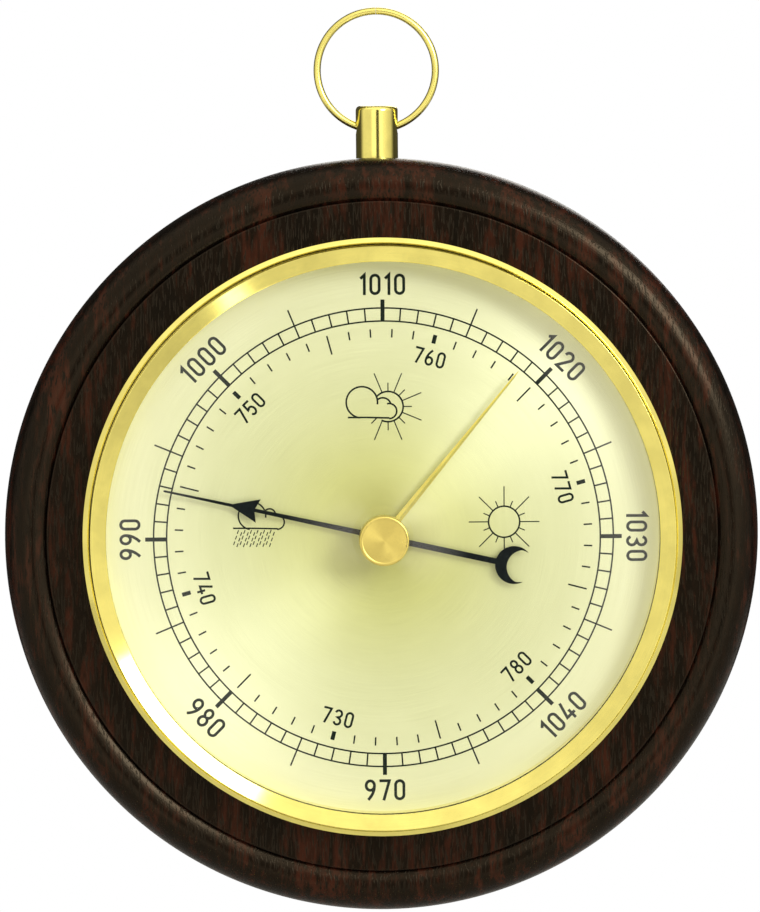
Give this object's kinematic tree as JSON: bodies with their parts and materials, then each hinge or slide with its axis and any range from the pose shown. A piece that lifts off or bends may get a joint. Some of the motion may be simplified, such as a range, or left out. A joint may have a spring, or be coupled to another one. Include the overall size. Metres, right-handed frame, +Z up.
{
  "type": "ship barometer",
  "caption": "Round aneroid ship barometer: turned dark wooden case, gilt bezel, brushed dial with two pressure scales, pointer, set hand with knob and hanging ring.",
  "frame": {"origin": "centre of the case's flat back face, on the wall plane", "axes": "+Z up the wall, -Y out of the wall towards the reader, +X to the reader's right"},
  "size_m": [0.13, 0.036, 0.156],
  "materials": {
    "mahogany": "dark red-brown turned mahogany, thin satin varnish, open black pores",
    "gilt_bezel": "polished gilt brass",
    "gilt_ring": "polished gilt wire",
    "knob_brass": "fine turned brass, lacquered",
    "movement_brass": "milled brass, matt",
    "steel": "plain machined steel",
    "nickel_silver": "nickel silver sheet, satin",
    "can_sheet": "rolled brass sheet, dull",
    "blued_steel": "black, satin",
    "dial_brushed": "circular-brushed silvered brass, pale champagne",
    "set_hand_gilt": "polished gilt brass, folded blade",
    "window_glass": "clear flat mineral glass"
  },
  "bodies": {
    "case": {"wood_case": "mahogany", "hanger_stud": "gilt_ring", "movement_can": "can_sheet", "case_screws": "steel", "case_nuts": "steel", "base_spacers": "movement_brass", "movement_screws": "steel", "base_plate": "movement_brass", "plate_pillars": "movement_brass", "plate_screws": "steel", "capsule_carrier": "steel", "carrier_block": "movement_brass", "carrier_screws": "steel", "capsule_nut": "steel", "capsule_lower": "nickel_silver", "fulcrum_bracket": "movement_brass", "lower_bridge": "movement_brass", "bridge_pillars": "movement_brass", "bridge_screws": "steel", "rocker_bracket": "movement_brass", "hairspring_stud": "movement_brass", "front_plate": "movement_brass", "dial": "dial_brushed", "dial_feet": "movement_brass", "dial_spacer_ring": "gilt_bezel", "glass": "window_glass", "bezel": "gilt_bezel"},
    "ring": {"hanging_ring": "gilt_ring"},
    "pointer": {"pointer_arbor": "steel", "pointer_collet": "movement_brass", "pointer_hand": "blued_steel", "hairspring_collet": "movement_brass", "hairspring": "steel"},
    "sector": {"sector_gear": "movement_brass", "sector_arbor": "steel"},
    "rocker": {"rocker_shaft": "steel", "rocker_rod": "steel", "rocker_crank": "steel"},
    "link": {"link_rod": "steel"},
    "lever": {"pressure_lever": "steel", "lever_shaft": "steel"},
    "capsule_top": {"capsule_upper": "nickel_silver", "capsule_post": "movement_brass"},
    "set_hand": {"set_hand": "set_hand_gilt", "set_knob": "knob_brass", "knob_washer": "nickel_silver"},
    "adjuster": {"adjusting_screw": "movement_brass"}
  },
  "joints": [
    {"name": "capsule_breathe", "type": "slide", "parent": "case", "child": "capsule_top", "axis": [0, 1, 0], "range_m": [-0.00012637, 0.00031704], "stiffness_N_per_m": 100400, "deforming": ["capsule_upper"]},
    {"name": "pointer_turn", "type": "hinge", "parent": "case", "child": "pointer", "pos_m": [0, -0.02, 0], "axis": [0, 1, 0], "range_deg": [-102.6, 257.4], "deforming": ["hairspring"]},
    {"name": "sector_turn", "type": "hinge", "parent": "case", "child": "sector", "pos_m": [0.00771, -0.0218, -0.027], "axis": [0, 1, 0], "range_deg": [-21.95, 9.05]},
    {"name": "rocker_turn", "type": "hinge", "parent": "case", "child": "rocker", "pos_m": [0, -0.0098, -0.027], "axis": [1, 0, 0], "range_deg": [-9.05, 21.95]},
    {"name": "link_turn", "type": "hinge", "parent": "rocker", "child": "link", "pos_m": [0.0011, -0.01027, -0.03117], "axis": [1, 0, 0], "range_deg": [-21.95, 9.05]},
    {"name": "lever_turn", "type": "hinge", "parent": "case", "child": "lever", "pos_m": [0, -0.0176, 0.008], "axis": [1, 0, 0], "range_deg": [-1, 2.37]},
    {"name": "set_hand_turn", "type": "hinge", "parent": "case", "child": "set_hand", "pos_m": [0, -0.03, 0], "axis": [0, 1, 0], "continuous": true},
    {"name": "ring_swing", "type": "hinge", "parent": "case", "child": "ring", "pos_m": [0, -0.013, 0.07019], "axis": [1, 0, 0], "range_deg": [-110, 110]},
    {"name": "adjuster_turn", "type": "hinge", "parent": "case", "child": "adjuster", "pos_m": [0.024, -0.006, 0], "axis": [0, 1, 0], "range_deg": [-360, 360]}
  ],
  "couplings": [
    {"joint": "pointer_turn", "follows": "capsule_breathe", "rad_per_m": 14170},
    {"joint": "sector_turn", "follows": "capsule_breathe", "rad_per_m": -1180.8},
    {"joint": "rocker_turn", "follows": "capsule_breathe", "rad_per_m": 1180.8},
    {"joint": "link_turn", "follows": "capsule_breathe", "rad_per_m": -1180.8},
    {"joint": "lever_turn", "follows": "capsule_breathe", "rad_per_m": 125}
  ]
}
